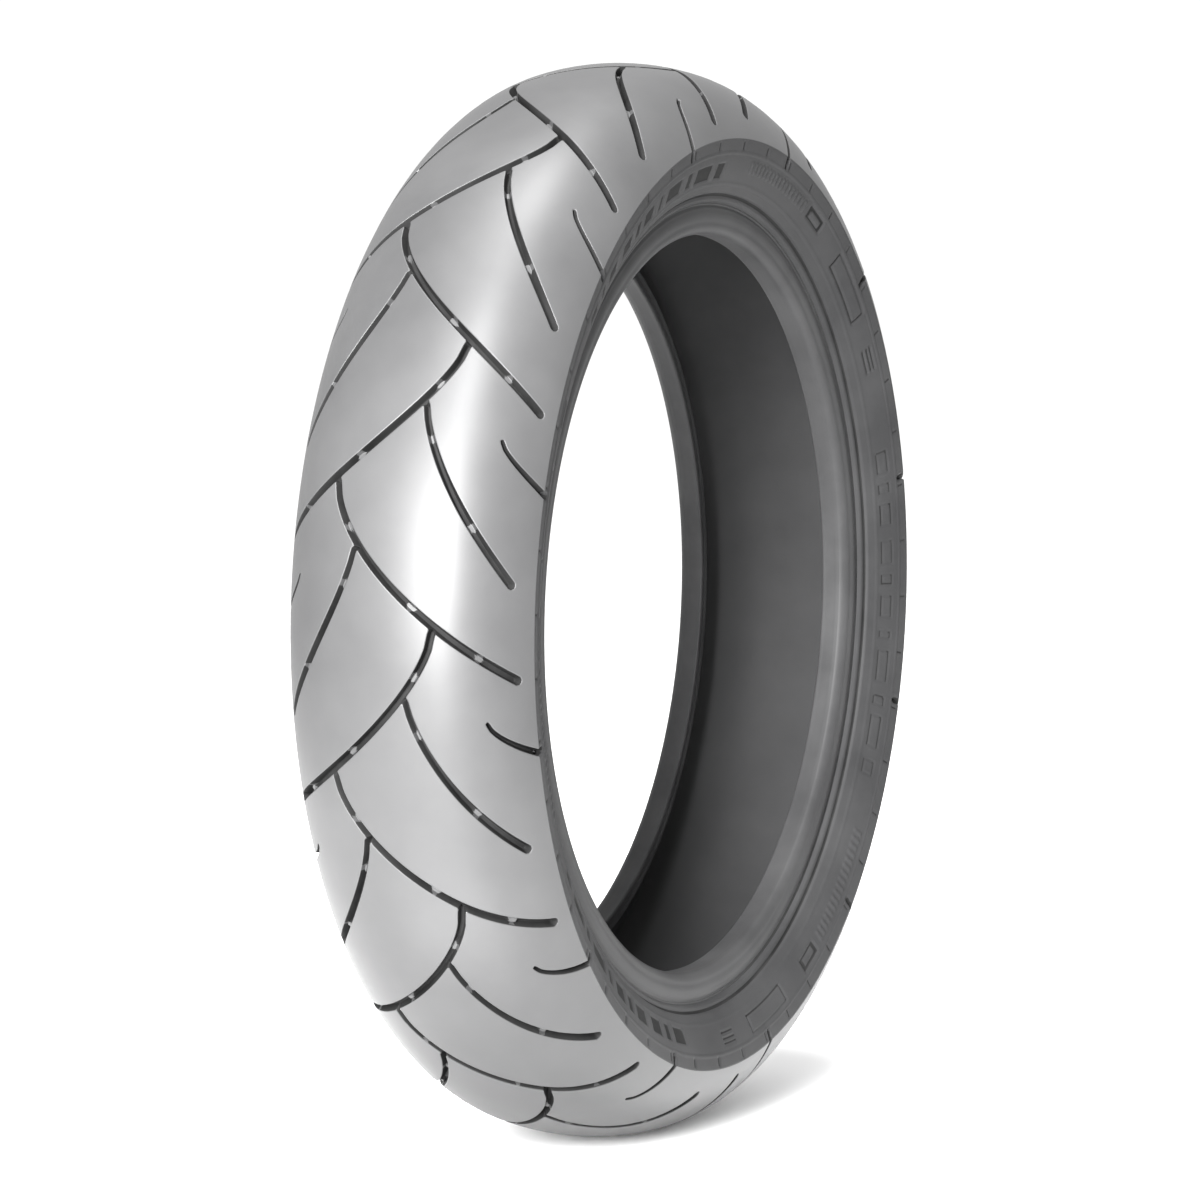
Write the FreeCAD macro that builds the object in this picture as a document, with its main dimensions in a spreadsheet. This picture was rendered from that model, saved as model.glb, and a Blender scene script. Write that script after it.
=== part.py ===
import FreeCAD, Part
import math
import os
import Sketcher

# Motorcycle tyre 150/70-17, off the rim. Millimetres and degrees.
# Origin at the wheel centre, spin axis +Y, +Z up.
# Every layer is a section drawn in the XY plane (X = radius, Y = axial) and revolved about Y.

SIZES = {
    # outer shape of the tread
    "outer_radius": 319.0,
    "crown_arc": 122.0,
    "crown_angle": 15.0,
    "shoulder_arc": 64.5,
    "shoulder_angle": 69.5,
    # layers under the tread, from the outside in
    "cap_thickness": 6.8,
    "base_thickness": 1.8,
    "ply_thickness": 0.9,
    "liner_thickness": 1.2,
    "outer_breaker_angle": 52.0,
    "inner_breaker_angle": 58.0,
    # casing between shoulder and bead
    "casing_blend_angle": 60.0,
    "wedge_end_angle": 90.0,
    "casing_side_arc": 26.0,
    "casing_side_angle": 115.0,
    "sidewall_bulge_arc": 74.0,
    "apex_tip_fraction": 0.32,
    "turn_up_fraction": 0.68,
    # bead
    "bead_axial": 48.6,
    "bead_radius": 225.2,
    "wire_pitch": 1.3,
    "wire_radius": 0.7,
    "wires_per_row": 4,
    "wrap_thickness": 0.6,
    "bead_corner": 0.4,
    "chafer_thickness": 0.8,
    # surface that sits on the rim
    "seat_radius": 218.3,
    "flange_axial": 57.0,
    "rim_line_radius": 237.0,
    "heel_arc": 6.0,
    "toe_axial": 41.0,
    "toe_arc": 1.5,
    # tread grooves: counts, angles in degrees, the rest in millimetres of surface
    "pitch_count": 12,
    "pattern_phase": 16.8,
    "groove_depth": 6.0,
    "groove_width": 5.0,
    "groove_gap": 3.0,
    "long_start": 32.0,
    "long_end": -82.0,
    "long_sweep": 1.08,
    "long_power": 0.62,
    "branch_start": 16.0,
    "branch_end": 77.0,
    "branch_angle": 6.2,
    "branch_sweep": 1.175,
    "branch_power": 0.673,
    "notch_start": 62.0,
    "notch_end": 98.0,
    "notch_angle": 9.6,
    "notch_sweep": 0.44,
    "notch_power": 0.676,
    "notch_width": 3.6,
}

# how far the groove cutters stand above the tread surface
CUTTER_CLEARANCE = 4.0
# a corner cut off at 45 degrees grows by this share of the offset between parallel layers
CORNER_GROWTH = 2.0 - math.sqrt(2.0)
# the liner is measured square to the axis where it turns at the apex tip, so it is drawn wider
SLANT_WIDENING = 1.1
# points along the centre line of a groove
PATH_POINTS = 9
# slope of a point partway round each shoulder arc of the groove shell
SHELL_MIDDLE_SLOPE = 40.0
# the grooves take at least this share of the tread
LEAST_GROOVE_SHARE = 0.03

doc = FreeCAD.newDocument("motorcycle_tire")
sheet = doc.addObject("Spreadsheet::Sheet", "Sizes")
for row, (alias, value) in enumerate(SIZES.items(), start=1):
    sheet.set(f"A{row}", alias)
    sheet.set(f"B{row}", str(value))
    sheet.setAlias(f"B{row}", alias)
doc.recompute()


# ---------------------------------------------------------------- points of the section

def size(name):
    """Name of a sheet cell inside an expression."""
    return f"Sizes.{name}"


derived = doc.addObject("App::VarSet", "Derived")


def derive(name, expression):
    """Keep a value worked out from the sheet under a name, for use in other expressions."""
    derived.addProperty("App::PropertyFloat", name, "Section")
    derived.setExpression(name, expression)
    return f"Derived.{name}"


def derive_point(name, point):
    return (derive(f"{name}_radius", point[0]), derive(f"{name}_axial", point[1]))


class Arc:
    """An arc centre in the section, with the radius that its outermost surface has."""

    def __init__(self, centre_radius, centre_axial, radius):
        self.centre_radius = centre_radius
        self.centre_axial = centre_axial
        self.radius = radius

    def radius_at(self, depth):
        return f"{self.radius} - {depth}"

    def point(self, depth, angle):
        reach = self.radius_at(depth)
        return (
            f"{self.centre_radius} + ({reach}) * cos({angle})",
            f"{self.centre_axial} + ({reach}) * sin({angle})",
        )


def inner_arc(name, outer, radius, angle):
    """Arc tangent to the inside of another one at the given slope."""
    step = f"({outer.radius} - {radius})"
    centre = derive_point(name, (
        f"{outer.centre_radius} + {step} * cos({angle})",
        f"{outer.centre_axial} + {step} * sin({angle})",
    ))
    return Arc(*centre, radius)


def between(start, end, fraction):
    """Point part of the way along a straight run."""
    return tuple(f"{a} + ({b} - ({a})) * {fraction}" for a, b in zip(start, end))


PLY = size("ply_thickness")
UNDER_CAP = derive("under_cap", f"{size('cap_thickness')} + {size('base_thickness')}")

# depth under the tread surface of the outside of each layer, and the bead layers' offsets
DEPTH = {
    "surface": "0",
    "base": size("cap_thickness"),
    "outer_breaker": UNDER_CAP,
    "inner_breaker": derive("inner_breaker", f"{UNDER_CAP} + {PLY}"),
    "outer_ply": derive("outer_ply", f"{UNDER_CAP} + 2 * {PLY}"),
    "inner_ply": derive("inner_ply", f"{UNDER_CAP} + 3 * {PLY}"),
    "liner": derive("liner", f"{UNDER_CAP} + 4 * {PLY}"),
    "air": derive("air", f"{UNDER_CAP} + 4 * {PLY} + {size('liner_thickness')}"),
}
TWO_PLIES = derive("two_plies", f"2 * {PLY}")
CHAFER_OUTSIDE = derive("chafer_outside", f"2 * {PLY} + {size('chafer_thickness')}")
CHAFER_INSIDE = derive("chafer_inside", f"{PLY} + {size('chafer_thickness')}")
EDGE_ROW = derive("edge_row", f"({size('wires_per_row')} - 1) / 2 * {size('wire_pitch')}")
WRAP_HALF = derive(
    "wrap_half", f"{EDGE_ROW} + {size('wire_radius')} + {size('wrap_thickness')}")

CROWN = Arc(
    derive("crown_centre", f"{size('outer_radius')} - {size('crown_arc')}"),
    "0", size("crown_arc"))
SHOULDER = inner_arc(
    "shoulder_centre", CROWN, size("shoulder_arc"), size("crown_angle"))
SIDE = inner_arc(
    "side_centre", SHOULDER,
    derive("side_arc", f"{size('casing_side_arc')} + {DEPTH['outer_ply']}"),
    size("casing_blend_angle"))


def bead_point(side, level, offset):
    """Corner of a rectangle that lies an offset outside the wrapped wire bundle.

    side is +1 on the rim flange side and -1 on the air side; level is +1 on top and -1 below.
    """
    return (
        f"{size('bead_radius')} + {level} * ({WRAP_HALF} + {offset})",
        f"{size('bead_axial')} + {side} * ({WRAP_HALF} + {offset})",
    )


def knee(offset):
    """Point beside the bead at the rim line, an offset outside the wrap."""
    return (size("rim_line_radius"), bead_point(1, 1, offset)[1])


def heel_corner(offset):
    """The two points that cut off the lower flange-side corner of an offset rectangle."""
    corner = bead_point(1, -1, offset)
    cut = f"({size('bead_corner')} + {CORNER_GROWTH} * {offset})"
    return [
        (f"{corner[0]} + {cut}", corner[1]),
        (corner[0], f"{corner[1]} - {cut}"),
    ]


def side_end(layer):
    return SIDE.point(DEPTH[layer], size("casing_side_angle"))


INNER_PLY_SIDE = derive_point("inner_ply_side", side_end("inner_ply"))
LINER_SIDE = derive_point("liner_side", side_end("liner"))
APEX_TIP = derive_point(
    "apex_tip", between(INNER_PLY_SIDE, knee(PLY), size("apex_tip_fraction")))
APEX_TIP_INSIDE = derive_point(
    "apex_tip_inside", between(LINER_SIDE, knee("0"), size("apex_tip_fraction")))
TURN_UP_OUTSIDE = derive_point(
    "turn_up_outside", between(INNER_PLY_SIDE, knee(PLY), size("turn_up_fraction")))
TURN_UP_INSIDE = derive_point(
    "turn_up_inside", between(LINER_SIDE, knee("0"), size("turn_up_fraction")))
LINER_FOOT = derive_point(
    "liner_foot", (bead_point(-1, 1, "0")[0], bead_point(-1, 1, PLY)[1]))
LINER_INNER_FOOT = (LINER_FOOT[0], f"{LINER_FOOT[1]} - {size('liner_thickness')}")
LINER_INNER_TIP = (APEX_TIP_INSIDE[0], f"{APEX_TIP_INSIDE[1]} - {SLANT_WIDENING} * {size('liner_thickness')}")

# convex sidewall surface: its arc's centre lies on the middle perpendicular of its chord
SHOULDER_EDGE = derive_point("shoulder_edge", SHOULDER.point("0", size("shoulder_angle")))
RIM_LINE = (size("rim_line_radius"), size("flange_axial"))
CHORD_RADIAL = derive("chord_radial", f"{SHOULDER_EDGE[0]} - {RIM_LINE[0]}")
CHORD_AXIAL = derive("chord_axial", f"{SHOULDER_EDGE[1]} - {RIM_LINE[1]}")
CHORD = derive("chord", f"sqrt({CHORD_RADIAL} ^ 2 + {CHORD_AXIAL} ^ 2)")
BULGE_REACH = derive("bulge_reach", f"sqrt({size('sidewall_bulge_arc')} ^ 2 - {CHORD} ^ 2 / 4)")
BULGE = Arc(
    derive("bulge_radius", f"({SHOULDER_EDGE[0]} + {RIM_LINE[0]}) / 2"
           f" + {CHORD_AXIAL} / {CHORD} * {BULGE_REACH}"),
    derive("bulge_axial", f"({SHOULDER_EDGE[1]} + {RIM_LINE[1]}) / 2"
           f" - {CHORD_RADIAL} / {CHORD} * {BULGE_REACH}"),
    size("sidewall_bulge_arc"))
doc.recompute()


# ---------------------------------------------------------------- sketches and bodies

def evaluate(sketch, expression):
    return float(sketch.evalExpression(expression))


def add_outline(sketch, outline):
    """Draw a closed outline whose every vertex and arc radius is bound to the sheet.

    outline is a list of (point, edge): the edge goes on to the next point and is None for a
    straight line, or (arc, depth) for a stretch of one of the section's arcs.
    """
    first = sketch.GeometryCount
    count = len(outline)
    places = [
        FreeCAD.Vector(evaluate(sketch, point[0]), evaluate(sketch, point[1]), 0)
        for point, _ in outline
    ]
    for index, (_, edge) in enumerate(outline):
        start = places[index]
        end = places[(index + 1) % count]
        if edge is None:
            sketch.addGeometry(Part.LineSegment(start, end), False)
        else:
            sketch.addGeometry(section_arc(sketch, edge, start, end), False)
    for index, (point, edge) in enumerate(outline):
        number = first + index
        bind_joint(sketch, number, first + (index + 1) % count, places[(index + 1) % count])
        end = end_at(sketch, number, places[index])
        bind(sketch, ("DistanceX", -1, 1, number, end, places[index].x), point[0])
        bind(sketch, ("DistanceY", -1, 1, number, end, places[index].y), point[1])
        if edge is not None:
            arc, depth = edge
            radius = evaluate(sketch, arc.radius_at(depth))
            bind(sketch, ("Radius", number, radius), arc.radius_at(depth))


def section_arc(sketch, edge, start, end):
    """The shorter stretch of an arc between two places, drawn anticlockwise as sketches want."""
    arc, depth = edge
    centre = FreeCAD.Vector(
        evaluate(sketch, arc.centre_radius), evaluate(sketch, arc.centre_axial), 0)
    direction = ((start + end) / 2 - centre).normalize()
    middle = centre + direction * evaluate(sketch, arc.radius_at(depth))
    if (start - centre).cross(end - centre).z < 0:
        start, end = end, start
    return Part.Arc(start, middle, end)


def end_at(sketch, number, place):
    """Which end (1 or 2) of an edge lies at a place: an arc may run against its outline."""
    edge = sketch.Geometry[number]
    return 1 if (edge.StartPoint - place).Length < (edge.EndPoint - place).Length else 2


def bind_joint(sketch, number, following, place):
    sketch.addConstraint(Sketcher.Constraint(
        "Coincident", number, end_at(sketch, number, place),
        following, end_at(sketch, following, place)))


def bind(sketch, constraint, expression):
    number = sketch.addConstraint(Sketcher.Constraint(*constraint))
    sketch.setExpression(f"Constraints[{number}]", expression)


def origin_feature(body, role):
    return next(item for item in body.Origin.OriginFeatures if item.Role == role)


def revolved_body(name, *outlines):
    """A body made by turning a section a full turn about Y; further outlines are holes in it."""
    body = doc.addObject("PartDesign::Body", name)
    body.Label = name
    sketch = body.newObject("Sketcher::SketchObject", f"{name}_section")
    sketch.AttachmentSupport = [(origin_feature(body, "XY_Plane"), "")]
    sketch.MapMode = "FlatFace"
    for outline in outlines:
        add_outline(sketch, outline)
    turn = body.newObject("PartDesign::Revolution", f"{name}_turn")
    turn.Profile = sketch
    turn.ReferenceAxis = (sketch, ["V_Axis"])
    turn.Angle = 360
    body.Tip = turn
    return body


def symmetric_body(name, half_outline):
    """A layer that crosses the centre plane: half of it is drawn and turned, then mirrored."""
    body = revolved_body(name, half_outline)
    mirror = body.newObject("PartDesign::Mirrored", f"{name}_mirror")
    mirror.Originals = [body.Tip]
    mirror.MirrorPlane = (origin_feature(body, "XZ_Plane"), [""])
    body.Tip = mirror
    return body


def paired(name, *outlines):
    """The right (+Y) ring and its mirror image on the left (-Y)."""
    right = revolved_body(f"{name}_right", *outlines)
    left = doc.addObject("Part::Mirroring", f"{name}_left")
    left.Source = right
    left.Normal = FreeCAD.Vector(0, 1, 0)
    left.Label = f"{name}_left"
    return [left, right]


# ---------------------------------------------------------------- layers over the crown

def crown_band(outer, inner, end_angle):
    """Half outline of a layer that stops under the tread."""
    angle = size("crown_angle")
    top, bottom = DEPTH[outer], DEPTH[inner]
    return [
        (CROWN.point(top, "0"), (CROWN, top)),
        (CROWN.point(top, angle), (SHOULDER, top)),
        (SHOULDER.point(top, end_angle), None),
        (SHOULDER.point(bottom, end_angle), (SHOULDER, bottom)),
        (CROWN.point(bottom, angle), (CROWN, bottom)),
        (CROWN.point(bottom, "0"), None),
    ]


def outward_run(depth):
    """The outside of a casing layer, from the centre plane to the end of its side arc."""
    return [
        (CROWN.point(depth, "0"), (CROWN, depth)),
        (CROWN.point(depth, size("crown_angle")), (SHOULDER, depth)),
        (SHOULDER.point(depth, size("casing_blend_angle")), (SIDE, depth)),
        (SIDE.point(depth, size("casing_side_angle")), None),
    ]


def return_run(depth):
    """The inside of a casing layer, taken back to the centre plane."""
    return [
        (SIDE.point(depth, size("casing_side_angle")), (SIDE, depth)),
        (SHOULDER.point(depth, size("casing_blend_angle")), (SHOULDER, depth)),
        (CROWN.point(depth, size("crown_angle")), (CROWN, depth)),
        (CROWN.point(depth, "0"), None),
    ]


def straight(*points):
    """Points joined by straight lines."""
    return [(point, None) for point in points]


def outer_ply_outline():
    """The ply turned down outside the bead and ending under it."""
    inside = bead_point(-1, -1, PLY)[1]
    return [
        *outward_run(DEPTH["outer_ply"]),
        *straight(knee(TWO_PLIES), *heel_corner(TWO_PLIES)),
        *straight((bead_point(-1, -1, TWO_PLIES)[0], inside), (bead_point(-1, -1, PLY)[0], inside)),
        *straight(*reversed(heel_corner(PLY)), knee(PLY)),
        *return_run(DEPTH["inner_ply"]),
    ]


def inner_ply_outline():
    """The ply that passes inside the bead, under it and up its other side."""
    return [
        *outward_run(DEPTH["inner_ply"]),
        *straight(APEX_TIP, bead_point(-1, 1, "0"), bead_point(-1, -1, "0")),
        *straight(*reversed(heel_corner("0")), knee("0")),
        *straight(TURN_UP_INSIDE, TURN_UP_OUTSIDE, knee(PLY), *heel_corner(PLY)),
        *straight(bead_point(-1, -1, PLY), LINER_FOOT, APEX_TIP_INSIDE),
        *return_run(DEPTH["liner"]),
    ]


def liner_outline():
    return [
        *outward_run(DEPTH["liner"]),
        *straight(APEX_TIP_INSIDE, LINER_FOOT, LINER_INNER_FOOT, LINER_INNER_TIP),
        *return_run(DEPTH["air"]),
    ]


# ---------------------------------------------------------------- rings at each side

def shoulder_wedge_outline():
    """Rubber that fills the step between breaker edges, casing and sidewall."""
    outer, middle, inner = DEPTH["outer_breaker"], DEPTH["inner_breaker"], DEPTH["outer_ply"]
    return [
        (SHOULDER.point(outer, size("outer_breaker_angle")), (SHOULDER, outer)),
        (SHOULDER.point(outer, size("shoulder_angle")), None),
        (SIDE.point(inner, size("wedge_end_angle")), (SIDE, inner)),
        (SHOULDER.point(inner, size("casing_blend_angle")), (SHOULDER, inner)),
        (SHOULDER.point(inner, size("inner_breaker_angle")), None),
        (SHOULDER.point(middle, size("inner_breaker_angle")), (SHOULDER, middle)),
        (SHOULDER.point(middle, size("outer_breaker_angle")), None),
    ]


def sidewall_outline():
    casing = DEPTH["outer_ply"]
    return [
        (SHOULDER_EDGE, (BULGE, "0")),
        *straight(RIM_LINE, knee(TWO_PLIES)),
        (side_end("outer_ply"), (SIDE, casing)),
        (SIDE.point(casing, size("wedge_end_angle")), None),
        (SHOULDER.point(UNDER_CAP, size("shoulder_angle")), None),
    ]


def chafer_outline():
    """Strip folded round the bead between the casing and the rim strip."""
    inner_axial = bead_point(-1, -1, CHAFER_INSIDE)[1]
    return straight(
        knee(CHAFER_OUTSIDE),
        *heel_corner(CHAFER_OUTSIDE),
        (bead_point(-1, -1, CHAFER_OUTSIDE)[0], inner_axial),
        (LINER_FOOT[0], inner_axial),
        LINER_FOOT,
        (bead_point(-1, -1, TWO_PLIES)[0], LINER_FOOT[1]),
        *reversed(heel_corner(TWO_PLIES)),
        knee(TWO_PLIES),
    )


def rim_strip_outline():
    """Hard rubber that seats on the rim: flange face, heel, seat and toe."""
    inner_axial = bead_point(-1, -1, CHAFER_INSIDE)[1]
    seat, flange, toe = size("seat_radius"), size("flange_axial"), size("toe_axial")
    heel_size, toe_size = size("heel_arc"), size("toe_arc")
    heel = Arc(f"({seat} + {heel_size})", f"({flange} - {heel_size})", heel_size)
    tip = Arc(f"({seat} + {toe_size})", f"({toe} + {toe_size})", toe_size)
    return [
        (RIM_LINE, None),
        (heel.point("0", "90"), (heel, "0")),
        (heel.point("0", "180"), None),
        (tip.point("0", "180"), (tip, "0")),
        (tip.point("0", "270"), None),
        *straight(LINER_INNER_FOOT, (LINER_FOOT[0], inner_axial)),
        *straight((bead_point(-1, -1, CHAFER_OUTSIDE)[0], inner_axial)),
        *straight(*reversed(heel_corner(CHAFER_OUTSIDE)), knee(CHAFER_OUTSIDE)),
    ]


def wire_bundle_outline():
    """Scalloped outline of the square bundle of bead wires."""
    pitch, wire = size("wire_pitch"), size("wire_radius")
    dip = f"sqrt({wire} ^ 2 - {pitch} ^ 2 / 4)"
    outline = []
    for quarter in range(4):
        for place in range(SIZES["wires_per_row"]):
            along = f"({place} * {pitch} - {EDGE_ROW})"
            centre = Arc(*turned(EDGE_ROW, along, quarter), wire)
            if place:
                start = turned(f"({EDGE_ROW} + {dip})", f"({along} - {pitch} / 2)", quarter)
            else:
                slant = f"{wire} * sqrt(0.5)"
                start = turned(f"({EDGE_ROW} + {slant})", f"({along} - {slant})", quarter)
            outline.append((start, (centre, "0")))
    return outline


def turned(out, along, quarter):
    """A point beside the bundle's centre, turned by quarter turns."""
    options = [(out, along), (f"-({along})", out), (f"-({out})", f"-({along})"), (along, f"-({out})")]
    radial, axial = options[quarter]
    return (f"{size('bead_radius')} + ({radial})", f"{size('bead_axial')} + ({axial})")


def wrap_outline():
    """Outside of the fabric round the wire bundle."""
    return straight(
        bead_point(1, 1, "0"), *heel_corner("0"), bead_point(-1, -1, "0"), bead_point(-1, 1, "0"))


def wrap_hole_outline():
    """Inside of the same fabric, against the wires."""
    inset = f"(-{size('wrap_thickness')})"
    corners = ((1, 1), (1, -1), (-1, -1), (-1, 1))
    return straight(*[bead_point(side, level, inset) for side, level in corners])


def apex_outline():
    """Rubber filler from the top of the bundle to a tip between the plies."""
    return straight(
        APEX_TIP, TURN_UP_OUTSIDE, TURN_UP_INSIDE, knee("0"),
        bead_point(1, 1, "0"), bead_point(-1, 1, "0"))


# ---------------------------------------------------------------- tread grooves

def cell(name):
    return float(sheet.get(name))


def surface_point(across):
    """Radius and axial place of the tread surface, a signed surface length from its centre."""
    length = abs(across)
    crown_length = math.radians(cell("crown_angle")) * cell("crown_arc")
    if length <= crown_length:
        angle = length / cell("crown_arc")
        radius = cell("outer_radius") - cell("crown_arc") * (1 - math.cos(angle))
        return radius, math.copysign(cell("crown_arc") * math.sin(angle), across)
    bend = math.radians(cell("crown_angle"))
    angle = bend + (length - crown_length) / cell("shoulder_arc")
    step = cell("crown_arc") - cell("shoulder_arc")
    radius = (cell("outer_radius") - cell("crown_arc") + step * math.cos(bend)
              + cell("shoulder_arc") * math.cos(angle))
    axial = step * math.sin(bend) + cell("shoulder_arc") * math.sin(angle)
    return radius, math.copysign(axial, across)


def groove_path(kind):
    """(across, degrees behind the pitch's start) along a groove, by a power of its run."""
    start, end = cell(f"{kind}_start"), cell(f"{kind}_end")
    first = 0.0 if kind == "long" else cell(f"{kind}_angle")
    gap = 0.0 if kind == "notch" else cell("groove_gap")
    path = []
    for index in range(PATH_POINTS):
        run = gap + (abs(end - start) - gap) * index / (PATH_POINTS - 1)
        across = start + math.copysign(run, end - start)
        angle = first + cell(f"{kind}_sweep") * run ** cell(f"{kind}_power")
        path.append((across, -angle))
    return path


def groove_cutter(kind, hand, shell):
    """One groove's solid: a rounded slot cut radially through a shell as deep as the groove.

    hand is +1 or -1 for the two mirrored patterns.
    """
    path = groove_path(kind)
    middle = path[len(path) // 2][1]
    plan = []
    for across, angle in path:
        radius, axial = surface_point(hand * across)
        plan.append(FreeCAD.Vector(radius * math.sin(math.radians(angle - middle)), axial, 0))
    spine = Part.BSplineCurve()
    spine.interpolate(plan)
    width = cell("notch_width") if kind == "notch" else cell("groove_width")
    low, high = [], []
    for index in range(len(plan)):
        parameter = spine.parameter(plan[index])
        along = spine.tangent(parameter)[0]
        across = FreeCAD.Vector(-along.y, along.x, 0) * (width / 2)
        low.append(plan[index] - across)
        high.append(plan[index] + across)
    first_tip = plan[0] - spine.tangent(spine.FirstParameter)[0] * (width / 2)
    last_tip = plan[-1] + spine.tangent(spine.LastParameter)[0] * (width / 2)
    sides = []
    for points in (low, high):
        side = Part.BSplineCurve()
        side.interpolate(points)
        sides.append(side.toShape())
    ends = [
        Part.Arc(high[0], first_tip, low[0]).toShape(),
        Part.Arc(low[-1], last_tip, high[-1]).toShape(),
    ]
    face = Part.Face(Part.Wire(Part.__sortEdges__(sides + ends)))
    top = cell("outer_radius") + CUTTER_CLEARANCE
    prism = face.extrude(FreeCAD.Vector(0, 0, top))
    cutter = prism.common(shell)
    cutter.rotate(FreeCAD.Vector(0, 0, 0), FreeCAD.Vector(0, 1, 0), middle)
    return cutter


def groove_shell():
    """Ring between the groove floors and just above the tread surface."""
    beyond = cell("shoulder_angle") + math.degrees(CUTTER_CLEARANCE / cell("shoulder_arc"))
    edges = []
    rims = []
    for offset in (CUTTER_CLEARANCE, -cell("groove_depth")):
        places = []
        half = (cell("crown_angle"), SHELL_MIDDLE_SLOPE, beyond)
        for angle in (*[-slope for slope in reversed(half)], 0.0, *half):
            places.append(section_point(angle, offset))
        edges.append(Part.Arc(places[0], places[1], places[2]).toShape())
        edges.append(Part.Arc(places[2], places[3], places[4]).toShape())
        edges.append(Part.Arc(places[4], places[5], places[6]).toShape())
        rims.append((places[0], places[-1]))
    for outer, inner in zip(*rims):
        edges.append(Part.LineSegment(outer, inner).toShape())
    face = Part.Face(Part.Wire(Part.__sortEdges__(edges)))
    return face.revolve(FreeCAD.Vector(0, 0, 0), FreeCAD.Vector(0, 1, 0), 360)


def section_point(angle, offset):
    """Point of the tread section at a slope, moved out from the surface by an offset."""
    bend = cell("crown_angle")
    slope = math.radians(abs(angle))
    if abs(angle) <= bend:
        centre_radius, centre_axial = cell("outer_radius") - cell("crown_arc"), 0.0
        reach = cell("crown_arc") + offset
    else:
        step = cell("crown_arc") - cell("shoulder_arc")
        centre_radius = (cell("outer_radius") - cell("crown_arc")
                         + step * math.cos(math.radians(bend)))
        centre_axial = step * math.sin(math.radians(bend))
        reach = cell("shoulder_arc") + offset
    axial = centre_axial + reach * math.sin(slope)
    return FreeCAD.Vector(centre_radius + reach * math.cos(slope), math.copysign(axial, angle), 0)


def groove_cutters():
    """All grooves: three kinds in two mirrored hands, half a pitch apart, round the tyre."""
    shell = groove_shell()
    pitch = 360.0 / cell("pitch_count")
    cutters = []
    for hand in (1, -1):
        start = cell("pattern_phase") - (0.0 if hand == 1 else pitch / 2)
        for kind in ("long", "branch", "notch"):
            cutter = groove_cutter(kind, hand, shell)
            for number in range(int(cell("pitch_count"))):
                copy = cutter.copy()
                # the cutter stands at the top; the pattern's angles run up from the -X side
                turn = start - 90.0 + pitch * number
                copy.rotate(FreeCAD.Vector(0, 0, 0), FreeCAD.Vector(0, 1, 0), turn)
                cutters.append(copy)
    return Part.makeCompound(cutters)


# ---------------------------------------------------------------- the tyre

blank = symmetric_body("tread_blank", crown_band("surface", "base", size("shoulder_angle")))
grooves = doc.addObject("Part::Feature", "tread_grooves")
grooves.Shape = groove_cutters()
tread_cap = doc.addObject("Part::Cut", "tread_cap")
tread_cap.Base = blank
tread_cap.Tool = grooves
tread_cap.Label = "tread_cap"

nodes = [
    tread_cap,
    symmetric_body("tread_base", crown_band("base", "outer_breaker", size("shoulder_angle"))),
    symmetric_body("breaker_ply_outer", crown_band(
        "outer_breaker", "inner_breaker", size("outer_breaker_angle"))),
    symmetric_body("breaker_ply_inner", crown_band(
        "inner_breaker", "outer_ply", size("inner_breaker_angle"))),
    symmetric_body("carcass_ply_outer", outer_ply_outline()),
    symmetric_body("carcass_ply_inner", inner_ply_outline()),
    symmetric_body("inner_liner", liner_outline()),
]
nodes += paired("shoulder_wedge", shoulder_wedge_outline())
nodes += paired("sidewall", sidewall_outline())
nodes += paired("chafer", chafer_outline())
nodes += paired("rim_strip", rim_strip_outline())
nodes += paired("bead_wires", wire_bundle_outline())
nodes += paired("bead_wrap", wrap_outline(), wrap_hole_outline())
nodes += paired("bead_apex", apex_outline())

doc.recompute()
for item in doc.Objects:
    if "Invalid" in item.State or "Error" in item.State:
        raise RuntimeError(f"{item.Name} failed: {item.State}")
if tread_cap.Shape.Volume > (1 - LEAST_GROOVE_SHARE) * blank.Shape.Volume:
    raise RuntimeError("the grooves cut almost nothing out of the tread")

os.makedirs("parts", exist_ok=True)
for node in nodes:
    if node.Shape.isNull() or not node.Shape.isValid():
        raise RuntimeError(f"{node.Label} has no valid shape")
    node.Shape.exportStep(f"parts/{node.Label}.step")
    print(node.Label, len(node.Shape.Solids), round(node.Shape.Volume / 1000, 2), "cm3")
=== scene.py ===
import math

import bpy
import numpy as np
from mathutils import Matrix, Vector
from mathutils.geometry import delaunay_2d_cdt


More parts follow.
